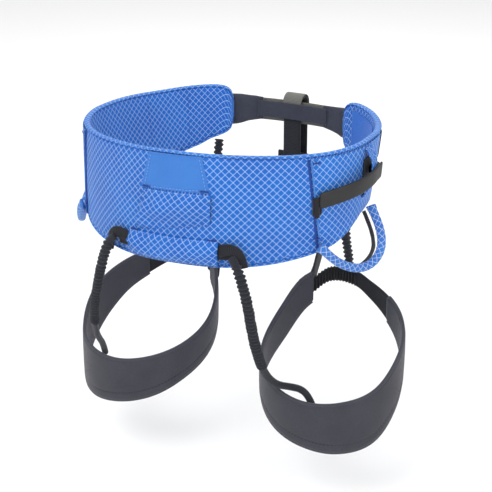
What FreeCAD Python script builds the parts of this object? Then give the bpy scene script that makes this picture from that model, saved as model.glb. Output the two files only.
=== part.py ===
# Climbing harness: padded waist belt, front closure, tie-in loop, two leg loops, gear loops and tool straps.
# Millimetres. +Z up, the wearer's back faces -Y, the wearer's right hand is on +X.
# The origin is the middle of the waist opening. Belt angles run in degrees from the back centre (0)
# round the right hip (+90) to the front (180); leg angles run from the back of the thigh (0)
# round its outer side (+90) to the front (180).
import FreeCAD, Part
import Sketcher
import math
import os
from FreeCAD import Vector

os.makedirs("parts", exist_ok=True)
doc = FreeCAD.newDocument("climbing_harness")

dimensions = [
    ("waist_half_width", 145.5), ("waist_back_depth", 113.0), ("waist_front_depth", 152.0),
    ("waist_shift", -18.0), ("belt_core_thick", 4.0), ("belt_skin_thick", 1.0),
    ("binding_height", 2.4), ("belt_lean", 4.5), ("wing_end_angle", 157.5),
    ("leg_centre_x", 107.0), ("leg_centre_y", 4.5), ("leg_radius", 72.0), 
    ("leg_core_thick", 2.0), ("leg_skin_thick", 1.0),
    ("webbing_thick", 1.4), ("layer_gap", 0.2), ("belay_width", 20.0), ("belay_middle_x", -3.0), ("belay_thick", 3.0),
    ("belay_top", 27.6), ("belay_bottom", -64.0), ("belay_inner_y", 139.5), ("belay_outer_y", 160.5),
    ("bridge_half", 23.6), ("bridge_thick", 4.0), ("bridge_height", 20.0), ("bridge_y", 150.0),
    ("gear_loop_dia", 8.6), ("gear_loop_core_dia", 5.0), ("riser_dia", 9.0), ("front_riser_dia", 9.0),
    ("side_cord_dia", 4.0), ("buckle_length", 34.0), ("buckle_height", 36.0), ("buckle_thick", 3.0),
    ("buckle_window_length", 22.0), ("buckle_window_height", 27.0), ("buckle_bar_dia", 4.0),
    ("keeper_length", 10.0), ("keeper_height", 31.0), ("keeper_depth", 4.9),
    ("keeper_window_height", 27.0), ("keeper_window_depth", 2.9), ("tool_tab_width", 13.5),
    ("tool_tab_thick", 2.4), ("tack_thick", 0.8),
]
sheet = doc.addObject("Spreadsheet::Sheet", "Dimensions")
for row, (alias, value) in enumerate(dimensions, 1):
    sheet.set("A%d" % row, alias)
    sheet.set("B%d" % row, str(value))
    sheet.setAlias("B%d" % row, alias)
doc.recompute()


def size(alias):
    return float(sheet.get(alias))


kept = []


def keep(solid_object, name):
    """Names a finished sub-part and queues it for export."""
    solid_object.Label = name
    kept.append(solid_object)
    return solid_object


def shaped(name, shape):
    """A sub-part whose free-form shape comes from lofts and sweeps."""
    feature = doc.addObject("Part::Feature", name)
    feature.Shape = shape
    return keep(feature, name)


# curves
def between(stations, where):
    """Smooth value at a place from a short list of (place, value) stations."""
    if where <= stations[0][0]:
        return stations[0][1]
    if where >= stations[-1][0]:
        return stations[-1][1]
    index = max(i for i in range(len(stations) - 1) if stations[i][0] <= where)

    def slope(i):
        low, high = max(i - 1, 0), min(i + 1, len(stations) - 1)
        return (stations[high][1] - stations[low][1]) / (stations[high][0] - stations[low][0])

    (start, first), (end, second) = stations[index], stations[index + 1]
    span = end - start
    t = (where - start) / span
    return ((2 * t**3 - 3 * t**2 + 1) * first + (t**3 - 2 * t**2 + t) * span * slope(index)
            + (3 * t**2 - 2 * t**3) * second + (t**3 - t**2) * span * slope(index + 1))


front_squareness = 2.0 / 2.4


def waist_outline(angle):
    """Plan of the belt's middle surface: rounder at the back, squarer at the front."""
    sine, cosine = math.sin(math.radians(angle)), -math.cos(math.radians(angle))
    if cosine < 0:
        across, along = sine, size("waist_back_depth") * cosine
    else:
        across = math.copysign(abs(sine) ** front_squareness, sine)
        along = size("waist_front_depth") * cosine ** front_squareness
    return Vector(size("waist_half_width") * across, along + size("waist_shift"), 0)


def waist_normal(angle):
    tangent = waist_outline(angle + 0.05) - waist_outline(angle - 0.05)
    return Vector(tangent.y, -tangent.x, 0).normalize()


def lean(angle):
    """The worn belt rides a little higher on the wearer's right."""
    fade = max(0.0, math.cos(math.radians(0.8 * angle)))
    return size("belt_lean") * math.sin(math.radians(angle)) * fade


belt_taper = [(0, 0), (64, 0), (84, 5), (98, 10), (116, 14), (140, 7), (160, 0)]
taper_top, taper_height = 70.0, 100.0


def tuck(angle, height):
    """The wings lean in towards the waist as they go down."""
    wrapped = min(abs(angle), 360 - abs(angle))
    return between(belt_taper, wrapped) * (taper_top - height) / taper_height


def on_belt(angle, height, stand_off):
    flat = waist_outline(angle) + waist_normal(angle) * (stand_off - tuck(angle, height))
    return Vector(flat.x, flat.y, height + lean(angle))


belt_top = [(0, 44.5), (30, 43), (60, 41), (90, 40.5), (120, 35.5), (146.5, 35.5), (152, 34.5), (155.2, 31.5),
            (156.9, 26), (157.5, 19)]
belt_bottom = [(0, -61.5), (20, -61.5), (35, -59), (50, -54), (60, -49.5), (72, -41), (81, -34), (90, -30.5),
               (125, -32), (140, -26), (146.5, -20), (152, -16), (155.2, -12), (156.9, -6), (157.5, 2)]
wing_end = size("wing_end_angle")
skin = size("belt_core_thick") / 2
face = skin + size("belt_skin_thick")
gap = size("layer_gap")


def steps(first, last, about):
    count = max(1, round(abs(last - first) / about))
    return [first + (last - first) * i / count for i in range(count + 1)]


def loft(sections, ruled=False):
    wires = [Part.makePolygon(list(points) + [points[0]]) for points in sections]
    return Part.makeLoft(wires, True, ruled)


def belt_wall(angles, bottom, top, inner, outer, ruled=False):
    """A wall that follows the belt between two heights and two stand-offs, each a number or a function."""
    def value(thing, angle):
        return thing(angle) if callable(thing) else thing
    sections = []
    for angle in angles:
        low, high = value(bottom, angle), value(top, angle)
        near, far = value(inner, angle), value(outer, angle)
        sections.append([on_belt(angle, low, near), on_belt(angle, low, far),
                         on_belt(angle, high, far), on_belt(angle, high, near)])
    return loft(sections, ruled)


def route_edges(points):
    """Straight runs joined by tangent arcs, each arc as large as its two runs allow."""
    edges, radii, at = [], [], points[0]
    for before, corner, after in zip(points, points[1:], points[2:]):
        into, out = (corner - before), (after - corner)
        turn = into.getAngle(out)
        reach = 0.45 * min(into.Length, out.Length)
        radii.append(reach / math.tan(turn / 2))
        into.normalize()
        out.normalize()
        start, end = corner - into * reach, corner + out * reach
        centre_way = (out - into).normalize()
        centre = corner + centre_way * (radii[-1] / math.cos(turn / 2))
        middle = centre - centre_way * radii[-1]
        edges += [Part.LineSegment(at, start).toShape(), Part.Arc(start, middle, end).toShape()]
        at = end
    edges.append(Part.LineSegment(at, points[-1]).toShape())
    return edges, radii


def tube(name, points, diameter):
    points = [Vector(*p) for p in points]
    edges, radii = route_edges(points)
    wire = Part.Wire(edges)
    ring = Part.Wire(Part.makeCircle(diameter / 2, points[0], points[1] - points[0]))
    shape = wire.makePipeShell([ring], True, False)
    section = math.pi * diameter**2 / 4
    print("%s: length %.0f, smallest radius %.1f, volume ratio %.3f"
          % (name, wire.Length, min(radii), shape.Volume / (section * wire.Length)))
    return shape


def strap(stations, width, thick):
    """Flat webbing through (point, width direction) stations."""
    sections = []
    points = [Vector(*point) for point, side in stations]
    for i, (point, side) in enumerate(stations):
        along = points[min(i + 1, len(points) - 1)] - points[max(i - 1, 0)]
        across = Vector(*side)
        along.normalize()
        across = (across - along * across.dot(along)).normalize()
        face_way = along.cross(across)
        half, lift = across * (width / 2), face_way * (thick / 2)
        centre = points[i]
        sections.append([centre - half - lift, centre + half - lift, centre + half + lift, centre - half + lift])
    return loft(sections)


def mirrored(points):
    return [(-x, y, z) for x, y, z in points]


# waist belt
tip_angles = [148.5, 150.5, 152.5, 154, 155, 155.9, 156.5, 157, 157.3, wing_end]
belt_angles = [-a for a in reversed(tip_angles)] + steps(-146.5, 146.5, 4) + tip_angles


def low_edge(angle):
    return between(belt_bottom, abs(angle))


def high_edge(angle):
    return between(belt_top, abs(angle))


binding = size("binding_height")
shaped("belt_foam_core", belt_wall(belt_angles, low_edge, high_edge, -skin, skin))
shaped("belt_outer_shell", belt_wall(belt_angles, low_edge, high_edge, skin, face))
shaped("belt_inner_lining", belt_wall(belt_angles, low_edge, high_edge, -face, -skin))
shaped("belt_top_binding", belt_wall(belt_angles, high_edge, lambda a: high_edge(a) + binding, -face, face))
shaped("belt_bottom_binding", belt_wall(belt_angles, lambda a: low_edge(a) - binding, low_edge, -face, face))


# back patch and sleeves
def patch_top(angle):
    return between([(-12, 10), (-8, 41), (12.5, 41), (15.5, 13)], angle)


def patch_bottom(angle):
    return between([(-12, 8.2), (15.5, 9.8)], angle)


shaped("back_label_patch", belt_wall(steps(-12, 15.5, 2), patch_bottom, patch_top,
                                     face + gap, face + 1.1, ruled=True))

webbing = size("webbing_thick")
upper_sleeve_angles = steps(-15, 16, 2)
lower_sleeve_angles = steps(-18.5, 18.5, 2)


def sleeve(angles, top, bottom, bow, wall):
    """Fabric sewn along both edges and bowed off the belt; bow lists (share of the way down, stand-off)."""
    sections = []
    for angle in angles:
        def height(share):
            return top(angle) + (bottom(angle) - top(angle)) * share
        outside = [on_belt(angle, height(share), stand) for share, stand in bow]
        inside = [on_belt(angle, height(share), max(face + gap, stand - wall)) for share, stand in bow]
        sections.append(outside + inside[::-1])
    return loft(sections, ruled=True)


shaped("upper_back_sleeve", sleeve(upper_sleeve_angles, lambda a: 8.0 + 0.03 * a, lambda a: -28.0 + 0.45 * a,
                                   [(0, 4.2), (0.15, 6.0), (0.35, 7.9), (0.6, 8.0), (0.82, 7.2), (1, 4.2)], 1.2))
shaped("lower_back_sleeve", sleeve(lower_sleeve_angles, lambda a: -36.5, lambda a: -60.5,
                                   [(0, 4.2), (0.16, 7.9), (0.45, 9.0), (0.78, 8.6), (1, 4.2)], 1.2))
shaped("riser_webbing", belt_wall(steps(-22.5, 22.5, 2.5), -54.0, -42.0, face + 0.6, face + 0.6 + 2 * webbing))


# side panels, tool holders, inner patches
panel_end = 104.0
panel_face = face + 1.2


def panel_foot(angle):
    return low_edge(angle) + 1.0


def panel_head(angle):
    return high_edge(angle) - 2.0


for side, sign in (("left", -1), ("right", 1)):
    panel = [sign * a for a in steps(54, panel_end, 2.5)]
    shaped("side_panel_" + side, belt_wall(panel, panel_foot, panel_head, face + 2 * gap, panel_face))
    strip_profile = [(38, 4.6), (33, 8.0), (26, 12.2), (12, 13.0), (-1, 11.4), (-8, 8.0), (-13, 4.7)]
    strip_sections = []
    for angle in steps(86.4, 90.9, 2.25):
        outside = [on_belt(sign * angle, height, stand + 1.0) for height, stand in strip_profile]
        inside = [on_belt(sign * angle, height, stand) for height, stand in strip_profile]
        strip_sections.append(outside + inside[::-1])
    shaped("tool_holder_strip_" + side, loft(strip_sections, ruled=True))

shaped("tool_holder_webbing_right",
       belt_wall(steps(85.5, 94.5, 2.5), -4.0, 27.0, panel_face + gap, panel_face + webbing))
shaped("tool_strap_base_right",
       belt_wall(steps(54.6, 58.4, 1), -14.0, 3.0, panel_face + gap, panel_face + 2 * webbing))


shaped("wing_inner_patch_right", belt_wall(steps(122, 150.5, 2.5), lambda a: low_edge(a) + 4.0,
                                           lambda a: high_edge(a) - 6.0, -face - 1.1, -face - gap))

# front closure
sleeve_low = [(146, -9), (158, -9), (165, -4), (169.5, -1)]
sleeve_high = [(146, 24), (158, 25.5), (165, 24.5), (169.5, 24)]
sleeve_thick = [(146, 2.2), (151, 6.2), (158, 6.4), (165, 5.2), (169.5, 3.0)]
sleeve_gap = 0.2
for side, sign in (("left", -1), ("right", 1)):
    angles = [sign * a for a in (146, 149, 152, 155, 158, 161, 164, 167, 169.5)]
    shaped("front_sleeve_" + side,
           belt_wall(angles, lambda a: between(sleeve_low, abs(a)), lambda a: between(sleeve_high, abs(a)),
                     face + sleeve_gap, lambda a: face + sleeve_gap + between(sleeve_thick, abs(a))))

shaped("front_inner_band", belt_wall(steps(167.6, 192.4, 4), 3.0, 21.0, face - 2.0, face))
webbing_stand = face + 7.2
shaped("waist_webbing", belt_wall(steps(149, 211, 4), -3.0, 21.0, webbing_stand, webbing_stand + 2 * webbing))
tail_stands = [(124, 5.65), (131, 5.65), (134, 5.65), (136, 5.8), (140, 11.0), (143, 17.1), (145.5, 20.5),
               (149, 20.1), (154, 18.6)]
shaped("webbing_tail", belt_wall(steps(124, 154, 2), -3.0, 21.0, lambda a: between(tail_stands, a),
                                 lambda a: between(tail_stands, a) + webbing))


def place_on_belt(angle, height, stand_off):
    """Placement whose X runs along the belt, Y up its face and Z outwards."""
    outwards = waist_normal(angle)
    along = Vector(-outwards.y, outwards.x, 0)
    up = on_belt(angle, height + 10, stand_off) - on_belt(angle, height - 10, stand_off)
    up = (up - along * up.dot(along)).normalize()
    turn = FreeCAD.Rotation(along, up, along.cross(up), "ZXY")
    return FreeCAD.Placement(on_belt(angle, height, stand_off), turn)


def rectangle(sketch, length, height):
    """Centred rectangle whose two sizes are bound to the sheet."""
    half_l, half_h = size(length) / 2, size(height) / 2
    corners = [Vector(-half_l, -half_h, 0), Vector(half_l, -half_h, 0),
               Vector(half_l, half_h, 0), Vector(-half_l, half_h, 0)]
    base = sketch.GeometryCount
    for i in range(4):
        sketch.addGeometry(Part.LineSegment(corners[i], corners[(i + 1) % 4]), False)
    for i in range(4):
        sketch.addConstraint(Sketcher.Constraint("Coincident", base + i, 2, base + (i + 1) % 4, 1))
    for i in (0, 2):
        sketch.addConstraint(Sketcher.Constraint("Horizontal", base + i))
        sketch.addConstraint(Sketcher.Constraint("Vertical", base + i + 1))
    sketch.addConstraint(Sketcher.Constraint("Symmetric", base, 1, base + 2, 1, -1, 1))
    across = sketch.addConstraint(Sketcher.Constraint("Distance", base, size(length)))
    upright = sketch.addConstraint(Sketcher.Constraint("Distance", base + 1, size(height)))
    sketch.setExpression("Constraints[%d]" % across, "Dimensions." + length)
    sketch.setExpression("Constraints[%d]" % upright, "Dimensions." + height)


def plane_sketch(body, name):
    sketch = body.newObject("Sketcher::SketchObject", name)
    plane = [f for f in body.Origin.OriginFeatures if f.Role == "XY_Plane"][0]
    sketch.AttachmentSupport = [(plane, "")]
    sketch.MapMode = "FlatFace"
    return sketch


buckle_angle = 154.0
closure_height = 9.0
buckle_stand = webbing_stand + 2 * webbing + 1.0
frame_body = doc.addObject("PartDesign::Body", "BuckleFrame")
frame_sketch = plane_sketch(frame_body, "BuckleOutline")
rectangle(frame_sketch, "buckle_length", "buckle_height")
rectangle(frame_sketch, "buckle_window_length", "buckle_window_height")
frame_pad = frame_body.newObject("PartDesign::Pad", "BuckleFramePad")
frame_pad.Profile = frame_sketch
frame_pad.setExpression("Length", "Dimensions.buckle_thick")
doc.recompute()
corners = [e for i, e in enumerate(["Edge%d" % (n + 1) for n in range(len(frame_pad.Shape.Edges))])
           if abs(frame_pad.Shape.Edges[i].Length - size("buckle_thick")) < 0.01
           and abs(frame_pad.Shape.Edges[i].CenterOfMass.x) > size("buckle_window_length") / 2 + 1]
frame_round = frame_body.newObject("PartDesign::Fillet", "BuckleFrameRound")
frame_round.Base = (frame_pad, corners)
frame_round.setExpression("Radius", "Dimensions.buckle_thick * 1.5")
frame_body.Tip = frame_round
frame_body.Placement = place_on_belt(buckle_angle, closure_height, buckle_stand)
keep(frame_body, "buckle_frame")

bar = doc.addObject("Part::Cylinder", "BuckleBar")
bar.setExpression("Radius", "Dimensions.buckle_bar_dia / 2 - 0.55")
bar.setExpression("Height", "Dimensions.buckle_window_height - 0.1")
bar_spot = place_on_belt(buckle_angle, closure_height, buckle_stand + size("buckle_thick") / 2)
bar_turn = FreeCAD.Placement(Vector(0, -size("buckle_window_height") / 2 + 0.05, 0),
                             FreeCAD.Rotation(Vector(1, 0, 0), -90))
bar.Placement = bar_spot.multiply(bar_turn)
keep(bar, "buckle_bar")

keeper_angle = 129.0
keeper_stand = 3.9
keeper_body = doc.addObject("PartDesign::Body", "WebbingKeeper")
keeper_sketch = plane_sketch(keeper_body, "KeeperOutline")
rectangle(keeper_sketch, "keeper_depth", "keeper_height")
rectangle(keeper_sketch, "keeper_window_depth", "keeper_window_height")
keeper_pad = keeper_body.newObject("PartDesign::Pad", "KeeperPad")
keeper_pad.Profile = keeper_sketch
keeper_pad.Midplane = True
keeper_pad.setExpression("Length", "Dimensions.keeper_length")
keeper_spot = place_on_belt(keeper_angle, closure_height, keeper_stand + size("keeper_depth") / 2)
keeper_body.Placement = keeper_spot.multiply(FreeCAD.Placement(Vector(), FreeCAD.Rotation(Vector(0, 1, 0), 90)))
keep(keeper_body, "webbing_keeper")


# tie-in loop and leg bridge
def rounded_ring(width, low, high, near, far, thick):
    """A flat webbing loop in the Y-Z plane, rounded at both ends, as wide as width along X."""
    def outline(grow):
        radius = (far - near) / 2 - grow
        middle = (near + far) / 2
        top, bottom = high - (far - near) / 2, low + (far - near) / 2
        side = size("belay_middle_x") - width / 2
        a, b = Vector(side, middle - radius, top), Vector(side, middle + radius, top)
        c, d = Vector(side, middle + radius, bottom), Vector(side, middle - radius, bottom)
        return Part.Wire([Part.Arc(a, Vector(side, middle, top + radius), b).toShape(),
                          Part.LineSegment(b, c).toShape(),
                          Part.Arc(c, Vector(side, middle, bottom - radius), d).toShape(),
                          Part.LineSegment(d, a).toShape()])
    disc = Part.makeFace([outline(0.0), outline(thick)], "Part::FaceMakerBullseye")
    return disc.extrude(Vector(width, 0, 0))


belay = rounded_ring(size("belay_width"), size("belay_bottom"), size("belay_top"),
                     size("belay_inner_y"), size("belay_outer_y"), size("belay_thick"))
shaped("belay_loop", belay)
cover_top = size("belay_top") + 1.2
cover = rounded_ring(size("belay_width") + 1.6, cover_top - 40, cover_top, size("belay_inner_y") - 1.2,
                     size("belay_outer_y") + 1.2, 1.2)
cover_box = Part.makeBox(60, 60, 22, Vector(-30, 120, cover_top - 14.5))
shaped("belay_loop_cover", cover.common(cover_box))

bridge = doc.addObject("Part::Box", "LegBridge")
bridge.setExpression("Length", "2 * Dimensions.bridge_half")
bridge.setExpression("Width", "Dimensions.bridge_thick")
bridge.setExpression("Height", "Dimensions.bridge_height")
bridge.Placement.Base = Vector(-size("bridge_half"), size("bridge_y") - size("bridge_thick") / 2,
                               size("belay_bottom") + size("belay_thick") + 3.0)
keep(bridge, "leg_bridge")


# leg loops
leg_rise = [(-142, -150), (-130, -160), (-110, -186), (-90, -203), (-60, -220), (-30, -234), (0, -242),
            (30, -243), (60, -235), (90, -209), (110, -192), (130, -176), (150, -163), (170, -150), (183, -141),
            (205, -138), (222, -152)]
leg_width = [(-142, 32), (-120, 38), (-90, 36), (-60, 38), (-30, 44), (0, 48), (30, 54), (60, 56), (90, 52),
             (110, 44), (130, 34), (150, 27), (170, 20), (183, 17)]
band_start, band_end, webbing_end = -140.0, 150.0, 183.0
leg_skin = size("leg_core_thick") / 2
leg_face = leg_skin + size("leg_skin_thick")


def on_leg(sign, angle, height, stand_off):
    radius = size("leg_radius") + stand_off
    turn = math.radians(angle)
    return Vector(sign * (size("leg_centre_x") + radius * math.sin(turn)),
                  size("leg_centre_y") - radius * math.cos(turn), height)


def leg_wall(sign, angles, low, high, inner, outer):
    """A wall round the thigh; low and high are shares of the band's width either side of its middle."""
    sections = []
    for angle in angles:
        middle, half = between(leg_rise, angle), between(leg_width, angle) / 2
        bottom, top = middle + low * half, middle + high * half
        sections.append([on_leg(sign, angle, bottom, inner), on_leg(sign, angle, bottom, outer),
                         on_leg(sign, angle, top, outer), on_leg(sign, angle, top, inner)])
    return loft(sections)


front_riser = [(79, 115, -24), (78, 110, -42), (78, 104, -62), (80, 97, -82), (84, 90, -100), (90, 83, -116),
               (94.2, 78.3, -127.4)]
side_cord = [(135.5, 8, -36.8), (140.5, 9, -48), (143.5, 14, -63.5), (141.4, 24, -80), (130.3, 40, -99),
             (115.6, 57, -115.5), (103, 73, -129.2)]
rear_riser_right = [(62.5, -132.5, -48), (68, -136, -52), (72, -137, -60), (76, -135, -75), (78, -130, -95),
                    (77, -122, -117), (76, -112, -140), (75, -101, -160), (74, -90, -178), (75, -78, -194),
                    (80, -67, -205), (90, -59.5, -208), (101, -57.5, -209), (110, -59.5, -214), (114, -60, -222)]
rear_riser_left = [(-62.5, -132.5, -48), (-67.5, -135.5, -52), (-71, -136.5, -62), (-77, -135, -79), (-84, -131, -97),
                   (-92, -124, -117), (-102, -113, -139), (-111, -100, -161), (-118, -87, -181),
                   (-123, -74, -194), (-126.5, -62, -206), (-129.5, -54, -220)]
inner_webbing = [((33, 147.5, -53), (1, 0, 0.4)), ((40, 141, -70), (1, 0.1, 0.35)), ((47, 129, -88), (0.8, 0.1, 0.5)),
                 ((52, 113, -107), (0.5, 0, 0.9)), ((53, 96, -124), (0.2, 0, 1)), ((54.5, 83, -135), (0, 0, 1)),
                 ((56, 73, -142), (0, 0, 1)), ((56.6, 65.5, -147), (0, 0, 1)), ((52.9, 58.6, -151), (0, 0, 1)),
                 ((49.6, 55.1, -152.5), (0, 0, 1))]
for side, sign in (("left", -1), ("right", 1)):
    band = steps(band_start, band_end, 10)
    shaped("leg_band_foam_" + side, leg_wall(sign, band, -1, 1, -leg_skin, leg_skin))
    shaped("leg_band_shell_" + side, leg_wall(sign, band, -1, 1, leg_skin, leg_face))
    shaped("leg_band_lining_" + side, leg_wall(sign, band, -1, 1, -leg_face, -leg_skin))
    shaped("leg_side_webbing_" + side, leg_wall(sign, steps(band_end, webbing_end, 8), -1, 1, -webbing, webbing))
    shaped("leg_front_elastic_" + side, leg_wall(sign, steps(webbing_end + 0.3, 360 + band_start - 0.3, 6),
                                                 -1, 1, -2.6, 2.6))
    shaped("leg_inner_webbing_" + side, strap([((sign * p[0], p[1], p[2]), (sign * d[0], d[1], d[2]))
                                               for p, d in inner_webbing], 19.0, 2 * webbing))
    tacks = [leg_wall(sign, [band_start + 13, band_start + 16], -0.8, 0.8, leg_face + gap, leg_face + 0.8 + gap),
             leg_wall(sign, [webbing_end - 4.5, webbing_end - 1.5], -0.8, 0.8, webbing + gap, webbing + 0.8 + gap)]
    shaped("leg_bar_tacks_" + side, Part.makeCompound(tacks))
    route = front_riser if sign > 0 else mirrored(front_riser)
    shaped("front_riser_" + side, tube("front_riser_" + side, route, size("front_riser_dia")))
    route = side_cord if sign > 0 else [(-135.5, 8, -39)] + mirrored(side_cord[1:])
    shaped("side_cord_" + side, tube("side_cord_" + side, route, size("side_cord_dia")))
    route = rear_riser_right if sign > 0 else rear_riser_left
    shaped("rear_riser_" + side, tube("rear_riser_" + side, route, size("riser_dia")))

# gear loops
gear_route = [(130, -85, -41.5), (137, -76.5, -54), (145.5, -63, -66), (155, -48, -73), (162.5, -34, -71.5),
              (166, -23, -63), (164.5, -16, -53), (160, -12, -42), (154.5, -11, -31.5), (150, -11.5, -22)]
for side, sign in (("left", -1), ("right", 1)):
    route = gear_route if sign > 0 else mirrored(gear_route)
    whole = tube("gear_loop_" + side, route, size("gear_loop_dia"))
    core = tube("gear_loop_core_" + side, route, size("gear_loop_core_dia"))
    shaped("gear_loop_sleeve_" + side, whole.cut(core))
    shaped("gear_loop_core_" + side, core)

# tool strap tab
tab_near, tab_far = 57.0, 92.0


def tab_middle(angle):
    return 0.5 + (abs(angle) - tab_near) / (tab_far - tab_near) * 13.0


def tab_stand(angle):
    return between([(57, 7.6), (66, 10.0), (76, 13.6), (84, 15.0), (92, 15.6)], abs(angle))


half = size("tool_tab_width") / 2
shaped("tool_strap_tab_right",
       belt_wall(steps(tab_near, tab_far, 5), lambda a: tab_middle(a) - half, lambda a: tab_middle(a) + half,
                 tab_stand, lambda a: tab_stand(a) + size("tool_tab_thick")))
shaped("tool_strap_fold_right",
       belt_wall([91.4, 92.4], lambda a: tab_middle(92) - half, lambda a: tab_middle(92) + half, 5.8, 15.2))

# bar tacks on the belt
tack = size("tack_thick")


def belt_tack(first, last, low, high, inner):
    return belt_wall(steps(first, last, 1), low, high, inner + gap, inner + gap + tack)


tacks = [belt_tack(-10.5, -7, 8.4, 10.4, face + 1.1), belt_tack(11.5, 15, 9.8, 11.8, face + 1.1),
         belt_tack(-17, -14, -36.4, -35.1, face), belt_tack(13.5, 17.5, -36.4, -35.1, face)]
for sign in (-1, 1):
    tacks.append(belt_tack(sign * 53.5, sign * 58, 35.0, 37.6, panel_face))
    tacks.append(belt_tack(sign * 54.5, sign * 58, -38.0, -35.6, panel_face))
shaped("belt_bar_tacks", Part.makeCompound(tacks))

# checks and export
doc.recompute()
for item in doc.Objects:
    if "Invalid" in item.State or "Error" in item.State:
        raise RuntimeError("failed object: " + item.Name)
for item in kept:
    if item.Shape.isNull() or not item.Shape.isValid() or not item.Shape.Solids:
        raise RuntimeError("bad shape: " + item.Label)
for item in kept:
    item.Shape.exportStep("parts/%s.step" % item.Label)
print("nodes:", len(kept))
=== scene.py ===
import bpy
import bmesh
import math
import random
from mathutils import Matrix, Vector, noise


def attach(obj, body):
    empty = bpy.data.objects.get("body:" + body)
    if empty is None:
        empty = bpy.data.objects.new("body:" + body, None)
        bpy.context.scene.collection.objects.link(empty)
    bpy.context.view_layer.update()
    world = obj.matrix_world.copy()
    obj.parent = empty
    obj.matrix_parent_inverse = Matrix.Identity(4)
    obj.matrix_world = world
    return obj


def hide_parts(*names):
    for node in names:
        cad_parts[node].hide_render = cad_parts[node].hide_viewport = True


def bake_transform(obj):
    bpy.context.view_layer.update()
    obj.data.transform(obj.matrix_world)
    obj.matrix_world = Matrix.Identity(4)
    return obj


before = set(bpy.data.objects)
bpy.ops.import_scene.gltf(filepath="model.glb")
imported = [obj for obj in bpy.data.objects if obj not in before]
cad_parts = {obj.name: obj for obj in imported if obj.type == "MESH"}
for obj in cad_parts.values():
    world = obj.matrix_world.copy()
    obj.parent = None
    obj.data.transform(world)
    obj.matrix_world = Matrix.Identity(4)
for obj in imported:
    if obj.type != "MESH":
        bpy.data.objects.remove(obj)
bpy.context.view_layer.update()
random.seed(7)
mm = 0.001

# the camera looks at the wearer's back right, a little from above
view = {"azimuth": math.radians(26.5), "elevation": math.radians(22), "distance": 1.4, "lens": 102.4,
        "originRight": -0.010, "originUp": 0.088}


def makeCamera():
    turn, lift = view["azimuth"], view["elevation"]
    ahead = Vector((-math.sin(turn) * math.cos(lift), math.cos(turn) * math.cos(lift), -math.sin(lift)))
    right = Vector((math.cos(turn), math.sin(turn), 0))
    up = right.cross(ahead)
    data = bpy.data.cameras.new("camera")
    data.lens = view["lens"]
    data.sensor_width = 36
    data.clip_start = 0.05
    camera = bpy.data.objects.new("camera", data)
    bpy.context.collection.objects.link(camera)
    place = -ahead * view["distance"] - right * view["originRight"] - up * view["originUp"]
    camera.matrix_world = Matrix.Translation(place) @ ahead.to_track_quat("-Z", "Y").to_matrix().to_4x4()
    bpy.context.scene.camera = camera


makeCamera()
print("stage: camera")


# curves and surfaces that every piece hangs on
def between(stations, where):  # smooth value from (place, value) stations
    if where <= stations[0][0]:
        return stations[0][1]
    if where >= stations[-1][0]:
        return stations[-1][1]
    index = max(i for i in range(len(stations) - 1) if stations[i][0] <= where)

    def slope(i):
        low, high = max(i - 1, 0), min(i + 1, len(stations) - 1)
        return (stations[high][1] - stations[low][1]) / (stations[high][0] - stations[low][0])

    (start, first), (end, second) = stations[index], stations[index + 1]
    span = end - start
    t = (where - start) / span
    return ((2 * t**3 - 3 * t**2 + 1) * first + (t**3 - 2 * t**2 + t) * span * slope(index)
            + (3 * t**2 - 2 * t**3) * second + (t**3 - t**2) * span * slope(index + 1))


def mix(a, b, share):
    return a + (b - a) * share


def smoothStep(low, high, value):
    t = min(1.0, max(0.0, (value - low) / (high - low)))
    return t * t * (3 - 2 * t)


waist = {"halfWidth": 145.5, "backDepth": 113, "frontDepth": 152, "shift": -18, "lean": 4.5,
         "frontPower": 2 / 2.4,
         "taper": [(0, 0), (64, 0), (84, 5), (98, 10), (116, 14), (140, 7), (160, 0)], "taperTop": 70,
         "top": [(0, 44.5), (30, 43), (60, 41), (90, 40.5), (120, 35.5), (146.5, 35.5), (152, 34.5),
                 (155.2, 31.5),
                 (156.9, 26), (157.5, 19)],
         "bottom": [(0, -61.5), (20, -61.5), (35, -59), (50, -54), (60, -49.5), (72, -41), (81, -34),
                    (90, -30.5),
                    (125, -32), (140, -26), (146.5, -20), (152, -16), (155.2, -12), (156.9, -6), (157.5, 2)],
         "end": 157.5}


def waistOutline(angle):
    sine, cosine = math.sin(math.radians(angle)), -math.cos(math.radians(angle))
    if cosine < 0:
        return Vector((waist["halfWidth"] * sine, waist["backDepth"] * cosine + waist["shift"], 0))
    across = math.copysign(abs(sine) ** waist["frontPower"], sine)
    return Vector((waist["halfWidth"] * across,
                   waist["frontDepth"] * cosine ** waist["frontPower"] + waist["shift"], 0))


def waistNormal(angle):
    tangent = waistOutline(angle + 0.05) - waistOutline(angle - 0.05)
    return Vector((tangent.y, -tangent.x, 0)).normalized()


def onBelt(angle, height, stand):
    # heights are up the belt, stand is how far out from its middle; the wings lean in towards their foot
    lean = waist["lean"] * math.sin(math.radians(angle)) * max(0.0, math.cos(math.radians(0.8 * angle)))
    stand -= between(waist["taper"], min(abs(angle), 360 - abs(angle))) * (waist["taperTop"] - height) / 100
    flat = waistOutline(angle) + waistNormal(angle) * stand
    return Vector((flat.x, flat.y, height + lean)) * mm


girthTable = [0.0]
for halfDegree in range(440):
    step = waistOutline((halfDegree + 1) / 2) - waistOutline(halfDegree / 2)
    girthTable.append(girthTable[-1] + step.length)


def girth(angle):  # metres along the belt from the back centre
    place = min(abs(angle) * 2, 439.99)
    whole = int(place)
    length = mix(girthTable[whole], girthTable[whole + 1], place - whole)
    return math.copysign(length * mm, angle)


def lowEdge(angle):
    return between(waist["bottom"], abs(angle))


def highEdge(angle):
    return between(waist["top"], abs(angle))


def ripple(point, size, amount):  # gentle unevenness of cloth
    return noise.noise(point / size) * amount


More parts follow.
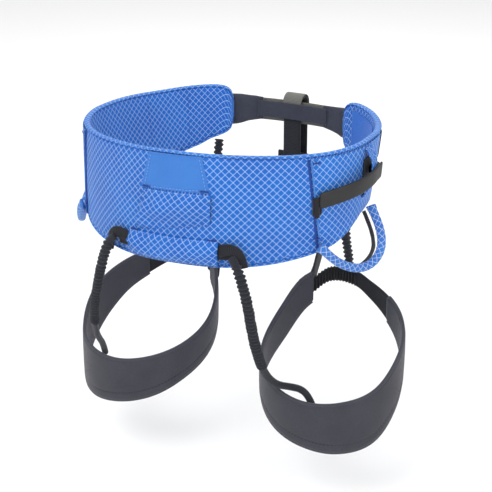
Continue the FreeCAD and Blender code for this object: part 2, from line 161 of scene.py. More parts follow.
# mesh making
def clothMesh(columns, rows, place, closed=False):
    # a grid whose corners go where place(s, t) says, with a flat cloth map in metres
    bm = bmesh.new()
    bmesh.ops.create_grid(bm, x_segments=columns, y_segments=rows, size=0.5)
    layer = bm.loops.layers.uv.new("cloth")
    placed = {v: place(v.co.x + 0.5, v.co.y + 0.5) for v in bm.verts}
    for face in bm.faces:
        for loop in face.loops:
            loop[layer].uv = placed[loop.vert][1]
    for vert, (spot, uv) in placed.items():
        vert.co = spot
    if closed:
        bmesh.ops.remove_doubles(bm, verts=bm.verts, dist=0.00001)
    return bm


def piece(name, bm, finish, body, replaces=(), thick=0.0, rounding=0.0):
    mesh = bpy.data.meshes.new(name)
    bm.to_mesh(mesh)
    bm.free()
    obj = bpy.data.objects.new(name, mesh)
    bpy.context.collection.objects.link(obj)
    mesh.materials.append(finish)
    mesh.shade_smooth()
    if thick:
        solid = obj.modifiers.new("thickness", "SOLIDIFY")
        solid.thickness = thick
        solid.offset = -1
        solid.use_even_offset = False
    if rounding:
        bevel = obj.modifiers.new("rounding", "BEVEL")
        bevel.width = rounding
        bevel.segments = 3
        bevel.limit_method = "ANGLE"
        bevel.angle_limit = math.radians(50)
        bevel.harden_normals = False
    if body:
        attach(obj, body)
    if replaces:
        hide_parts(*replaces)
    return obj


def readSpline(points, count):
    # evenly spread points along the smooth line through a given route
    curve = bpy.data.curves.new("route", "CURVE")
    curve.dimensions = "3D"
    curve.resolution_u = 24
    spline = curve.splines.new("NURBS")
    spline.points.add(len(points) - 1)
    for target, spot in zip(spline.points, points):
        target.co = (*spot, 1)
    spline.order_u = 3
    spline.use_endpoint_u = True
    holder = bpy.data.objects.new("route", curve)
    mesh = bpy.data.meshes.new_from_object(holder)
    line = [v.co.copy() for v in mesh.vertices]
    bpy.data.objects.remove(holder)
    bpy.data.curves.remove(curve)
    bpy.data.meshes.remove(mesh)
    return spreadEvenly(line, count)


def spreadEvenly(line, count):
    lengths = [0.0]
    for a, b in zip(line, line[1:]):
        lengths.append(lengths[-1] + (b - a).length)
    spread, index = [], 0
    for i in range(count + 1):
        goal = lengths[-1] * i / count
        while index < len(line) - 2 and lengths[index + 1] < goal:
            index += 1
        span = lengths[index + 1] - lengths[index]
        spread.append(line[index].lerp(line[index + 1], (goal - lengths[index]) / span))
    return spread


def pathLength(path):
    return sum((b - a).length for a, b in zip(path, path[1:]))


def tubeMesh(path, sides, section, sideways=None):
    # section(s, turn) gives how far out the skin is as (sideways, upwards) in metres
    frames, across = [], None
    for i, spot in enumerate(path):
        ahead = (path[min(i + 1, len(path) - 1)] - path[max(i - 1, 0)]).normalized()
        if sideways:
            across = Vector(sideways(i / (len(path) - 1)))
        elif across is None:
            across = ahead.orthogonal()
        across = (across - ahead * across.dot(ahead)).normalized()
        frames.append((spot, across, ahead.cross(across)))
    total = pathLength(path)

    def place(s, t):
        spot, side, up = frames[round(s * (len(path) - 1))]
        a, b = section(s, t * 2 * math.pi)
        return spot + side * a + up * b, (s * total, t * 0.027)
    bm = clothMesh(len(path) - 1, sides, place, closed=True)
    ends = [e for e in bm.edges if e.is_boundary]
    if ends:
        bmesh.ops.holes_fill(bm, edges=ends, sides=0)
    bmesh.ops.recalc_face_normals(bm, faces=bm.faces)
    return bm


def threads(lines, thick, name, finish, body, replaces=()):
    # each line is (start, end); a thread is a slim rounded grain
    bm = bmesh.new()
    for start, end in lines:
        way = end - start
        turn = way.to_track_quat("Z", "Y").to_matrix().to_4x4()
        scale = Matrix.Diagonal((thick, thick, way.length / 2 + thick * 0.4, 1))
        where = Matrix.Translation((start + end) / 2) @ turn @ scale
        bmesh.ops.create_uvsphere(bm, u_segments=6, v_segments=4, radius=1, matrix=where)
    return piece(name, bm, finish, body, replaces)


def flatSection(width, thick, wave=0.0, waves=0):
    # outline of a strap with soft edges, in millimetres
    def section(s, turn):
        c, d = math.cos(turn), math.sin(turn)
        swell = 1 + wave * math.sin(waves * s * 2 * math.pi)
        return (math.copysign(abs(c) ** 0.3, c) * width / 2 * mm,
                math.copysign(abs(d) ** 0.55, d) * thick / 2 * mm * swell)
    return section


def seamStitches(spots, length=2.6 * mm, gap=1.5 * mm):
    # running stitches along a line of points
    line = spreadEvenly(spots, max(2, int(pathLength(spots) / (length + gap))))
    return [(a.lerp(b, 0.12), a.lerp(b, 0.12 + length / (length + gap))) for a, b in zip(line, line[1:])]


def barTack(corner, along, across, count):
    # dense zigzag between two edges
    lines = []
    for i in range(count):
        a = corner + along * (i / count)
        b = corner + along * ((i + 0.5) / count) + across
        lines.append((a, b))
        lines.append((b, corner + along * ((i + 1) / count)))
    return lines


# padded and layered walls
def wallSlice(low, high, inner, outer, crown, rows, turns=4):
    # one slice through a padded wall: (height, stand, walked) points that go once round it
    half = min((outer - inner) / 2, (high - low) / 2 - 0.01)
    middle = (outer + inner) / 2
    spots = []
    for i in range(rows + 1):
        share = i / rows
        spots.append((mix(low + half, high - half, share), outer + crown * math.sin(math.pi * share)))
    for i in range(1, turns):
        turn = math.pi * i / turns
        spots.append((high - half + half * math.sin(turn), middle + (outer - inner) / 2 * math.cos(turn)))
    for i in range(rows + 1):
        share = i / rows
        spots.append((mix(high - half, low + half, share), inner - 0.4 * crown * math.sin(math.pi * share)))
    for i in range(1, turns + 1):
        turn = math.pi * i / turns
        spots.append((low + half - half * math.sin(turn), middle - (outer - inner) / 2 * math.cos(turn)))
    walked, total = [], low
    for i, spot in enumerate(spots):
        if i:
            total += math.hypot(spot[0] - spots[i - 1][0], spot[1] - spots[i - 1][1])
        walked.append((*spot, total))
    return walked


def valueAt(thing, angle):  # a wall's measure is a number or a function of the angle
    return thing(angle) if callable(thing) else thing


def paddedWall(where, along, first, last, low, high, inner, outer, columns, rows, crown=0.0, change=None):
    # where(angle, height, stand) places a point; along(angle) is the distance along the wall
    slices = []
    for i in range(columns + 1):
        angle = mix(first, last, i / columns)
        slices.append((angle, wallSlice(valueAt(low, angle), valueAt(high, angle), valueAt(inner, angle),
                                        valueAt(outer, angle), valueAt(crown, angle), rows)))

    def place(s, t):
        angle, points = slices[round(s * columns)]
        height, stand, walked = points[round(t * (len(points) - 1))]
        if change:
            angle, height, stand = change(angle, height, stand)
        return where(angle, height, stand), (along(angle), walked * mm)
    bm = clothMesh(columns, len(slices[0][1]) - 1, place, closed=True)
    ends = [e for e in bm.edges if e.is_boundary]
    bmesh.ops.holes_fill(bm, edges=ends, sides=0)
    bmesh.ops.recalc_face_normals(bm, faces=bm.faces)
    return bm


# shader groups shared by the fabrics
def newGroup(name, inputs, outputs):
    tree = bpy.data.node_groups.new(name, "ShaderNodeTree")
    for label, kind, value in inputs:
        socket = tree.interface.new_socket(label, in_out="INPUT", socket_type=kind)
        if value is not None:
            socket.default_value = value
    for label in outputs:
        tree.interface.new_socket(label, in_out="OUTPUT", socket_type="NodeSocketFloat")
    return tree, tree.nodes.new("NodeGroupInput").outputs, tree.nodes.new("NodeGroupOutput").inputs


def plug(tree, socket, value):
    if isinstance(value, bpy.types.NodeSocket):
        tree.links.new(value, socket)
    else:
        socket.default_value = value


def sums(tree, operation, *values):
    node = tree.nodes.new("ShaderNodeMath")
    node.operation = operation
    for socket, value in zip(node.inputs, values):
        plug(tree, socket, value)
    return node.outputs[0]


def fade(tree, value, low, high, toLow=0.0, toHigh=1.0):
    node = tree.nodes.new("ShaderNodeMapRange")
    node.interpolation_type = "SMOOTHSTEP"
    for label, number in (("Value", value), ("From Min", low), ("From Max", high), ("To Min", toLow),
                          ("To Max", toHigh)):
        plug(tree, node.inputs[label], number)
    return node.outputs["Result"]


def splitVector(tree, vector):
    node = tree.nodes.new("ShaderNodeSeparateXYZ")
    tree.links.new(vector, node.inputs[0])
    return node.outputs


def makeGridGroup():
    # thin crossed threads that run at 45 degrees
    tree, given, out = newGroup("diagonalThreads", [("Cloth", "NodeSocketVector", None),
                                                    ("Spacing", "NodeSocketFloat", 0.0065),
                                                    ("Thread Width", "NodeSocketFloat", 0.0009)],
                                ["Threads", "Crossings"])
    parts = splitVector(tree, given["Cloth"])
    masks = []
    for operation in ("ADD", "SUBTRACT"):
        slanted = sums(tree, "MULTIPLY", sums(tree, operation, parts[0], parts[1]), 0.70711)
        cell = sums(tree, "PINGPONG", sums(tree, "DIVIDE", slanted, given["Spacing"]), 0.5)
        distance = sums(tree, "MULTIPLY", cell, given["Spacing"])
        masks.append(fade(tree, distance, sums(tree, "MULTIPLY", given["Thread Width"], 0.3),
                          sums(tree, "MULTIPLY", given["Thread Width"], 0.75), 1.0, 0.0))
    tree.links.new(sums(tree, "MAXIMUM", *masks), out["Threads"])
    tree.links.new(sums(tree, "MULTIPLY", *masks), out["Crossings"])
    return tree


def makeWeaveGroup():
    # over-and-under weave of fine threads
    tree, given, out = newGroup("fineWeave", [("Cloth", "NodeSocketVector", None),
                                              ("Thread", "NodeSocketFloat", 0.0006)], ["Height"])
    parts = splitVector(tree, given["Cloth"])
    waves = []
    for part in (parts[0], parts[1]):
        turns = sums(tree, "MULTIPLY", sums(tree, "DIVIDE", part, given["Thread"]), 2 * math.pi)
        waves.append(sums(tree, "SINE", turns))
    product = sums(tree, "MULTIPLY", *waves)
    tree.links.new(sums(tree, "MULTIPLY_ADD", product, 0.5, 0.5), out["Height"])
    return tree


def makeRibGroup():
    # webbing: ribs across the strap, each a shallow zigzag
    tree, given, out = newGroup("webbingRibs", [("Cloth", "NodeSocketVector", None),
                                                ("Rib", "NodeSocketFloat", 0.0016),
                                                ("Column", "NodeSocketFloat", 0.004)], ["Height"])
    parts = splitVector(tree, given["Cloth"])
    zigzag = sums(tree, "PINGPONG", sums(tree, "DIVIDE", parts[1], given["Column"]), 0.5)
    shifted = sums(tree, "MULTIPLY_ADD", zigzag, 1.6, sums(tree, "DIVIDE", parts[0], given["Rib"]))
    wave = sums(tree, "SINE", sums(tree, "MULTIPLY", shifted, 2 * math.pi))
    tree.links.new(sums(tree, "MULTIPLY_ADD", wave, 0.5, 0.5), out["Height"])
    return tree


def makeUnevenGroup():
    # broad and fine unevenness of colour
    tree, given, out = newGroup("unevenness", [("Spot", "NodeSocketVector", None),
                                               ("Broad", "NodeSocketFloat", 18.0),
                                               ("Fine", "NodeSocketFloat", 600.0)], ["Broad", "Fine"])
    for label, detail in (("Broad", 3), ("Fine", 2)):
        cloud = tree.nodes.new("ShaderNodeTexNoise")
        cloud.inputs["Detail"].default_value = detail
        tree.links.new(given["Spot"], cloud.inputs["Vector"])
        tree.links.new(given[label], cloud.inputs["Scale"])
        tree.links.new(cloud.outputs["Fac"], out[label])
    return tree


groups = {"grid": makeGridGroup(), "weave": makeWeaveGroup(), "ribs": makeRibGroup(),
          "uneven": makeUnevenGroup()}


def colour(red, green, blue):  # screen values 0-255 to linear
    def one(value):
        value /= 255
        return value / 12.92 if value <= 0.04045 else ((value + 0.055) / 1.055) ** 2.4
    return (one(red), one(green), one(blue), 1)


def useGroup(tree, name, **inputs):
    node = tree.nodes.new("ShaderNodeGroup")
    node.node_tree = groups[name]
    for label, value in inputs.items():
        plug(tree, node.inputs[label.replace("_", " ")], value)
    return node.outputs


def mixColour(tree, share, first, second, blend="MIX"):
    node = tree.nodes.new("ShaderNodeMix")
    node.data_type = "RGBA"
    node.blend_type = blend
    plug(tree, node.inputs["Factor"], share)
    plug(tree, node.inputs[6], first)
    plug(tree, node.inputs[7], second)
    return node.outputs[2]


def newFinish(name, roughness, sheen=0.0, sheenTint=(1, 1, 1, 1), specular=0.5):
    material = bpy.data.materials.new(name)
    material.use_nodes = True
    tree = material.node_tree
    shader = tree.nodes["Principled BSDF"]
    shader.inputs["Roughness"].default_value = roughness
    shader.inputs["Sheen Weight"].default_value = sheen
    shader.inputs["Sheen Roughness"].default_value = 0.4
    shader.inputs["Sheen Tint"].default_value = sheenTint
    shader.inputs["Specular IOR Level"].default_value = specular
    cloth = tree.nodes.new("ShaderNodeUVMap")
    cloth.uv_map = "cloth"
    spot = tree.nodes.new("ShaderNodeTexCoord").outputs["Object"]
    return material, tree, shader, cloth.outputs["UV"], spot


def bump(tree, shader, height, distance, strength=1.0):
    node = tree.nodes.new("ShaderNodeBump")
    node.inputs["Distance"].default_value = distance
    node.inputs["Strength"].default_value = strength
    tree.links.new(height, node.inputs["Height"])
    tree.links.new(node.outputs["Normal"], shader.inputs["Normal"])


def ripstop(name, ground, deep, thread, spacing=0.0050, width=0.00044, strength=0.7):
    # blue cloth with pale diagonal reinforcing threads
    material, tree, shader, cloth, spot = newFinish(name, 0.55, sheen=0.04, specular=0.25)
    lines = useGroup(tree, "grid", Cloth=cloth, Spacing=spacing, Thread_Width=width)
    weave = useGroup(tree, "weave", Cloth=cloth, Thread=0.0005)["Height"]
    patchy = useGroup(tree, "uneven", Spot=spot, Broad=22.0, Fine=900.0)
    base = mixColour(tree, fade(tree, patchy["Broad"], 0.3, 0.7), deep, ground)
    base = mixColour(tree, sums(tree, "MULTIPLY", weave, 0.03), base, thread)
    worn = fade(tree, patchy["Fine"], 0.2, 0.8, strength * 0.8, strength)
    base = mixColour(tree, sums(tree, "MULTIPLY", lines["Threads"], worn), base, thread)
    tree.links.new(base, shader.inputs["Base Color"])
    height = sums(tree, "MULTIPLY_ADD", lines["Threads"], 1.2, sums(tree, "MULTIPLY", weave, 0.5))
    height = sums(tree, "MULTIPLY_ADD", lines["Crossings"], 0.6, height)
    bump(tree, shader, height, 0.00012)
    tree.links.new(fade(tree, patchy["Fine"], 0.2, 0.8, 0.5, 0.62), shader.inputs["Roughness"])
    return material


def plainCloth(name, dark, light, thread=0.0006, roughness=0.8, depth=0.00008, sheen=0.2, fuzz=1400.0,
               weaveShare=0.25):
    material, tree, shader, cloth, spot = newFinish(name, roughness, sheen=sheen, specular=0.25)
    weave = useGroup(tree, "weave", Cloth=cloth, Thread=thread)["Height"]
    patchy = useGroup(tree, "uneven", Spot=spot, Broad=30.0, Fine=fuzz)
    share = sums(tree, "MULTIPLY_ADD", weave, weaveShare, sums(tree, "MULTIPLY", patchy["Broad"], 0.45))
    share = sums(tree, "MULTIPLY_ADD", patchy["Fine"], 0.5, share)
    tree.links.new(mixColour(tree, fade(tree, share, 0.2, 0.9), dark, light), shader.inputs["Base Color"])
    bump(tree, shader, sums(tree, "ADD", weave, sums(tree, "MULTIPLY", patchy["Fine"], 0.8)), depth)
    tree.links.new(fade(tree, patchy["Broad"], 0.3, 0.7, roughness - 0.06, roughness + 0.06),
                   shader.inputs["Roughness"])
    return material


def webbing(name, dark, light, rib=0.0016, column=0.004, roughness=0.72, depth=0.00025):
    material, tree, shader, cloth, spot = newFinish(name, roughness, sheen=0.12, specular=0.3)
    ribs = useGroup(tree, "ribs", Cloth=cloth, Rib=rib, Column=column)["Height"]
    patchy = useGroup(tree, "uneven", Spot=spot, Broad=40.0, Fine=1800.0)
    share = sums(tree, "MULTIPLY_ADD", patchy["Fine"], 0.4, sums(tree, "MULTIPLY", ribs, 0.7))
    tree.links.new(mixColour(tree, fade(tree, share, 0.1, 1.0), dark, light), shader.inputs["Base Color"])
    bump(tree, shader, sums(tree, "MULTIPLY_ADD", patchy["Fine"], 0.3, ribs), depth)
    tree.links.new(fade(tree, patchy["Broad"], 0.3, 0.7, roughness - 0.08, roughness + 0.08),
                   shader.inputs["Roughness"])
    return material


def smoothFinish(name, dark, light, roughness, metallic=0.0, scratch=0.0):
    material, tree, shader, cloth, spot = newFinish(name, roughness, specular=0.5)
    shader.inputs["Metallic"].default_value = metallic
    patchy = useGroup(tree, "uneven", Spot=spot, Broad=60.0, Fine=1500.0)
    tree.links.new(mixColour(tree, fade(tree, patchy["Broad"], 0.3, 0.7), dark, light),
                   shader.inputs["Base Color"])
    tree.links.new(fade(tree, patchy["Fine"], 0.25, 0.75, roughness - 0.07, roughness + 0.1),
                   shader.inputs["Roughness"])
    if scratch:
        stretched = tree.nodes.new("ShaderNodeMapping")
        stretched.inputs["Scale"].default_value = (1, 1, 30)
        tree.links.new(spot, stretched.inputs["Vector"])
        lines = useGroup(tree, "uneven", Spot=stretched.outputs[0], Broad=80.0, Fine=400.0)["Fine"]
        bump(tree, shader, lines, scratch)
    else:
        bump(tree, shader, patchy["Fine"], 0.00003)
    return material


finishes = {
    "belt": ripstop("beltRipstop", colour(4, 100, 194), colour(2, 90, 184), colour(206, 232, 254)),
    "panel": ripstop("panelRipstop", colour(12, 106, 200), colour(6, 95, 190), colour(208, 234, 254)),
    # the belt ripstop made lighter: a painted highlight along the rolled belt edges and the side panels'
    # folds
    "edge": ripstop("edgeRipstopPaintedHighlight", colour(26, 114, 206), colour(16, 102, 196), colour(206, 232, 254)),
    "loop": ripstop("loopRipstop", colour(54, 120, 202), colour(40, 104, 190), colour(232, 242, 252),
                    spacing=0.0047),
    "patch": plainCloth("backPatchCloth", colour(44, 106, 188), colour(68, 128, 206), roughness=0.62,
                        sheen=0.1),
    "innerPatch": plainCloth("innerPatchCloth", colour(30, 92, 184), colour(50, 114, 204), roughness=0.7),
    # dark blue for the quilting thread, and also the painted shade line along the side panels' front edges
    "stitchesAndSeamShade": plainCloth("darkStitchesAndPaintedSeamShade", colour(16, 44, 118), colour(34, 76, 164), roughness=0.7),
    "thread": plainCloth("blueThread", colour(120, 168, 232), colour(170, 205, 250), roughness=0.6),
    "darkThread": plainCloth("darkBlueThread", colour(18, 40, 110), colour(34, 66, 150), roughness=0.65),
    "paleThread": plainCloth("paleThread", colour(168, 168, 164), colour(214, 212, 206), roughness=0.7),
    "blackWebbing": webbing("blackWebbing", colour(12, 12, 17), colour(40, 41, 49)),
    "oliveWebbing": webbing("oliveWebbing", colour(84, 84, 78), colour(128, 127, 120), rib=0.0014),
    "hook": webbing("hookWebbing", colour(12, 12, 16), colour(50, 50, 56), rib=0.0018, column=0.0018,
                    depth=0.0005),
    "strap": smoothFinish("coatedStrap", colour(16, 16, 18), colour(28, 28, 30), 0.5),
    "sleeve": plainCloth("darkSleeveCloth", colour(34, 36, 46), colour(70, 73, 84), thread=0.0008,
                         depth=0.0001),
    "band": plainCloth("charcoalStretch", colour(44, 45, 53), colour(72, 72, 80), thread=0.0009,
                       roughness=0.86,
                       depth=0.0001, sheen=0.25),
    "lining": plainCloth("charcoalLining", colour(50, 51, 60), colour(76, 77, 86), thread=0.0007,
                         roughness=0.85),
    "elastic": webbing("blackElastic", colour(5, 5, 9), colour(26, 27, 34), rib=0.0011, column=0.002,
                       roughness=0.66),
    "riser": webbing("riserElastic", colour(12, 13, 20), colour(46, 48, 58), rib=0.0012, column=0.0022,
                     roughness=0.62),
    "metal": smoothFinish("buckleMetal", colour(46, 47, 50), colour(66, 67, 70), 0.42, metallic=0.8,
                          scratch=0.00005),
}
print("stage: finishes")


# waist belt
belt = {"puff": 0.5, "columns": 330, "rows": 26, "edgeWrap": 0.6, "edgeProud": 0.12}


def inflate(obj, pressure, cap, held=None, shrink=0.0, frames=20, mass=0.3):
    # let the cloth swell, keep every point within cap of where it began, and apply the result
    before = [v.co.copy() for v in obj.data.vertices]
    group = None
    if held:
        group = obj.vertex_groups.new(name="held")
        for index, weight in held:
            group.add([index], weight, "REPLACE")
    cloth = obj.modifiers.new("swell", "CLOTH")
    cloth.settings.quality = 6
    cloth.settings.mass = mass
    cloth.settings.use_pressure = True
    cloth.settings.uniform_pressure_force = pressure
    cloth.settings.shrink_min = shrink
    cloth.settings.bending_stiffness = 0.05
    cloth.settings.effector_weights.gravity = 0
    cloth.collision_settings.use_collision = False
    if group:
        cloth.settings.vertex_group_mass = "held"
    scene = bpy.context.scene
    for step in range(1, frames + 1):
        scene.frame_set(step)
    swollen = obj.evaluated_get(bpy.context.evaluated_depsgraph_get()).to_mesh()
    after = [v.co.copy() for v in swollen.vertices]
    obj.evaluated_get(bpy.context.evaluated_depsgraph_get()).to_mesh_clear()
    obj.modifiers.remove(cloth)
    for vert, was, now in zip(obj.data.vertices, before, after):
        move = now - was
        vert.co = was + (move if move.length <= cap else move * (cap / move.length))
    scene.frame_set(1)


def beltSeams(angle, height, stand):  # the belt sinks a little along its sewn edges
    depth = 0.0
    if stand > 2:
        for edge in (highEdge(angle) - 4.5, lowEdge(angle) + 4.5):
            depth += 0.35 * math.exp(-((height - edge) / 1.3) ** 2)
        depth -= ripple(Vector((angle * 0.5, height * 0.35, 0)), 9.0, 0.35)
    return angle, height, stand - depth


beltBody = piece("beltBody", paddedWall(onBelt, girth, -waist["end"], waist["end"], lowEdge, highEdge, -3.0,
                                        3.0, belt["columns"],
                                        belt["rows"], belt["puff"], beltSeams),
                 finishes["belt"], "belt", ["belt_foam_core", "belt_outer_shell",
                                                       "belt_inner_lining"])

# both bindings take the lighter edge ripstop, a painted highlight along the rolled belt edges
for name, node, low, high in (
        ("beltTopEdge", "belt_top_binding", lambda a: highEdge(a) - belt["edgeWrap"],
         lambda a: highEdge(a) + 2.3),
        ("beltBottomEdge", "belt_bottom_binding", lambda a: lowEdge(a) - 2.3,
         lambda a: lowEdge(a) + belt["edgeWrap"])):
    proud = 3.0 + belt["edgeProud"]
    piece(name, paddedWall(onBelt, girth, -waist["end"] + 0.2, waist["end"] - 0.2, low, high, -proud, proud,
                           320, 3, 0.1),
          finishes["edge"], "belt", [node])
quilting = []
for angle in (-112, -135):
    for height in range(-14, 30, 4):
        start = onBelt(angle, height, -3.15)
        quilting.append((start, start + Vector((0, 0, 2.6 * mm))))
threads(quilting, 0.4 * mm, "quiltStitches", finishes["stitchesAndSeamShade"], "belt")
print("stage: waist belt")


# back patch and the two sleeves on the back
patchCorners = {"footLeft": (-12.2, 8.2), "footRight": (15.5, 9.8), "headLeft": (-8.3, 44.0),
                "headRight": (12.6, 44.3)}
backPatch = {"stand": 4.2, "thick": 1.0}


def onPatch(s, t, stand):
    foot = [mix(a, b, s) for a, b in zip(patchCorners["footLeft"], patchCorners["footRight"])]
    head = [mix(a, b, s) for a, b in zip(patchCorners["headLeft"], patchCorners["headRight"])]
    angle, height = mix(foot[0], head[0], t), mix(foot[1], head[1], t)
    return onBelt(angle, height, stand), (girth(angle), height * mm)


def patchCloth(s, t):
    inset = min(s, 1 - s, t, 1 - t)
    return onPatch(s, t, backPatch["stand"] - 0.5 * math.exp(-((inset - 0.055) / 0.014) ** 2))


piece("backPatch", clothMesh(110, 70, patchCloth), finishes["patch"], "belt",
      ["back_label_patch"],
      thick=backPatch["thick"] * mm, rounding=0.0003)


def sleeveSheet(name, leftEdge, rightEdge, top, bottom, bow, nodes, pressure, cap, spare):
    # a sheet sewn on above and below that bows off the belt; bow is (share of the way down, stand)
    columns, rows = 64, 40

    def place(s, t):
        angle = mix(leftEdge(1 - t), rightEdge(1 - t), s)
        height = mix(bottom(angle), top(angle), t)
        stand = between(bow, 1 - t)
        slack = math.sin(math.pi * t)
        stand += slack * ripple(Vector((angle * 1.3, height * 0.3, spare)), 5.0, 0.9)
        return onBelt(angle, height, stand), (girth(angle), height * 1.08 * mm)
    bm = clothMesh(columns, rows, place)
    obj = piece(name, bm, finishes["belt"], "belt", nodes)
    held = []
    for vert in obj.data.vertices:
        row = vert.index // (columns + 1)
        edge = min(row, rows - row)
        if edge <= 1:
            held.append((vert.index, 1.0))
    inflate(obj, pressure, cap * mm, held, shrink=-0.015)
    solid = obj.modifiers.new("thickness", "SOLIDIFY")
    solid.thickness = 0.0009
    solid.offset = -1
    return obj


upperSleeve = sleeveSheet("upperSleeve", lambda d: mix(-10.5, -15, d), lambda d: mix(16, 15.5, d),
                          lambda a: 8.0 + 0.03 * a, lambda a: -28.0 + 0.45 * a,
                          [(0, 4.2), (0.12, 6.6), (0.35, 8.6), (0.6, 8.4), (0.82, 7.2), (1, 4.2)],
                          ["upper_back_sleeve"], 1.5, 2.5, 3.0)
lowerSleeve = sleeveSheet("lowerSleeve", lambda d: -18.5, lambda d: 18.5, lambda a: -36.0, lambda a: -61.5,
                          [(0, 4.2), (0.16, 8.2), (0.45, 9.6), (0.78, 9.0), (1, 4.2)],
                          ["lower_back_sleeve"], 1.5, 2.0, 11.0)

riserWebbing = {"first": -22.8, "last": 22.8, "low": -54, "high": -42}
for layer, (near, far) in enumerate(((3.7, 5.0), (5.1, 6.5))):
    piece("riserWebbing%d" % (layer + 1),
          paddedWall(onBelt, girth, riserWebbing["first"] - layer * 0.6, riserWebbing["last"] + layer * 0.6,
                     riserWebbing["low"], riserWebbing["high"], near, far, 70, 6, 0.1),
          finishes["blackWebbing"], "belt", ["riser_webbing"])
riserFolds = {"right": [(18.5, -46.0, 5.3), (21.5, -43.0, 7.2), (24.0, -42.5, 9.5), (26.2, -46.5, 10.5),
                        (27.2, -53.0, 9.8), (27.8, -60.0, 9.5)],
              "left": [(-18.5, -46.0, 5.3), (-21.5, -42.5, 7.2), (-24.0, -41.8, 9.5), (-26.0, -46.0, 10.3),
                       (-26.8, -53.0, 9.6), (-27.6, -60.0, 9.2)]}
for side, spots in riserFolds.items():
    sign = 1 if side == "right" else -1
    path = readSpline([onBelt(*spot) for spot in spots], 40)

    def lying(s):  # the webbing starts flat on the belt and turns down over itself
        turn = smoothStep(0.15, 0.75, s)
        return (sign * 0.9 * turn, 0.45 * turn, 1.0 - 0.55 * turn)
    piece("riserFold_" + side, tubeMesh(path, 22, lambda s, t: flatSection(mix(11.5, 9.5, s), 2.7)(s, t),
                                        lying),
          finishes["blackWebbing"], "belt")
print("stage: back sleeves")


# side panels, tool straps and the patch inside the right wing
panel = {"first": 54, "last": 104, "stand": 4.25, "thick": 1.0}
holderProfile = [(-13, 4.7), (-8, 8), (-1, 11.4), (12, 13), (26, 12.2), (33, 8), (38, 4.6)]
tab = {"near": 57.0, "far": 92.0, "half": 7.9, "thick": 2.4, "corner": 1.3}
innerPatch = {"first": 122, "last": 150.5, "aboveEdge": 4, "belowEdge": 6, "stand": -3.9}
tabStands = [(57, 7.6), (66, 10.0), (76, 13.6), (84, 15.0), (92, 15.6)]


def tabMiddle(angle):
    return 0.5 + (abs(angle) - tab["near"]) / (tab["far"] - tab["near"]) * 13.0


def tabHalf(angle):  # square end with rounded corners
    fromEnd = abs(angle) - tab["near"]
    if fromEnd >= tab["corner"]:
        return tab["half"]
    share = 1 - fromEnd / tab["corner"]
    return tab["half"] - 2.6 * (1 - math.sqrt(max(0.0, 1 - share * share)))


def panelFront(height):  # the panel's front edge slants
    return mix(58.3, 53.4, (height + 50) / 92)


for side, sign in (("left", -1), ("right", 1)):
    ends = (sign * panel["first"], sign * panel["last"])
    if sign < 0:
        ends = (ends[1], ends[0])

    def panelCloth(s, t):
        angle = ends[0] + (ends[1] - ends[0]) * s
        height = mix(lowEdge(angle) + 1, highEdge(angle) - 1.5, t)
        fromFront = abs(angle) - panel["first"]
        angle = sign * mix(panelFront(height), panel["last"], fromFront / (panel["last"] - panel["first"]))
        stand = panel["stand"] + 0.5 * math.sin(math.pi * t)
        return onBelt(angle, height, stand), (girth(angle), height * mm)
    piece("sidePanel_" + side, clothMesh(90, 40, panelCloth),
          finishes["panel"], "belt", ["side_panel_" + side], thick=panel["thick"] * mm,
          rounding=0.0003)
    # along each panel's front edge: a lighter rolled fold with painted highlight, and just in front of it,
    # below the panel, a dark strip of painted shade in the crevice
    foldSpots, shadeLineSpots = [], []
    for h in range(11):
        height = mix(lowEdge(56) + 2, highEdge(54) - 2, h / 10)
        foldSpots.append(onBelt(sign * (panelFront(height) + 0.3), height, 4.6))
        shadeLineSpots.append(onBelt(sign * (panelFront(height) - 0.8), height, 3.5))
    # the rolled fold takes the lighter edge ripstop: a painted highlight on the fold
    piece("panelFold_" + side, tubeMesh(spreadEvenly(foldSpots, 40), 10,
                                        lambda s, t: (0.9 * mm * math.cos(t), 0.7 * mm * math.sin(t))),
          finishes["edge"], "belt")
    # dark tube in the crevice at the panel edge: a painted shade line
    piece("panelSeamPaintedShade_" + side, tubeMesh(spreadEvenly(shadeLineSpots, 40), 8,
                                        lambda s, t: (1.1 * mm * math.cos(t), 0.6 * mm * math.sin(t))),
          finishes["stitchesAndSeamShade"], "belt")

    def strip(s, t):
        angle = sign * mix(86.3, 91.0, s)
        height = mix(-13, 38, t)
        return onBelt(angle, height, between(holderProfile, height) + 1.0), (s * 0.019, height * mm * 1.15)
    bm = clothMesh(10, 50, strip)
    if sign < 0:
        bmesh.ops.reverse_faces(bm, faces=bm.faces)
    piece("holderStrip_" + side, bm, finishes["panel"], "belt", ["tool_holder_strip_" + side],
          thick=0.001, rounding=0.0003)

# the tool strap is on the right only
piece("hookWebbing_right", paddedWall(onBelt, girth, 85.5, 94.5, -4, 27, 4.6, 5.7, 30, 14),
      finishes["hook"], "belt", ["tool_holder_webbing_right"])
piece("strapBase_right", paddedWall(onBelt, girth, 54.6, 58.4, -14, 3, 4.5, 7.0, 12, 12, 0.2),
      finishes["blackWebbing"], "belt", ["tool_strap_base_right"])
piece("strapTab_right",
      paddedWall(onBelt, girth, tab["near"], tab["far"],
                 lambda a: tabMiddle(a) - tabHalf(a), lambda a: tabMiddle(a) + tabHalf(a),
                 lambda a: between(tabStands, a), lambda a: between(tabStands, a) + tab["thick"],
                 90, 10, 0.1),
      finishes["strap"], "tool_tab_right", ["tool_strap_tab_right"])
foldMiddle = tabMiddle(tab["far"])
piece("strapFold_right",
      paddedWall(onBelt, girth, 91.2, 92.8, foldMiddle - 6.9, foldMiddle + 6.9, 5.9, 15.3, 8, 6, 0.2),
      finishes["strap"], "belt", ["tool_strap_fold_right"])
rollSpots = [onBelt(56.2, mix(-16, 3.5, h / 8), 7.2) for h in range(9)]
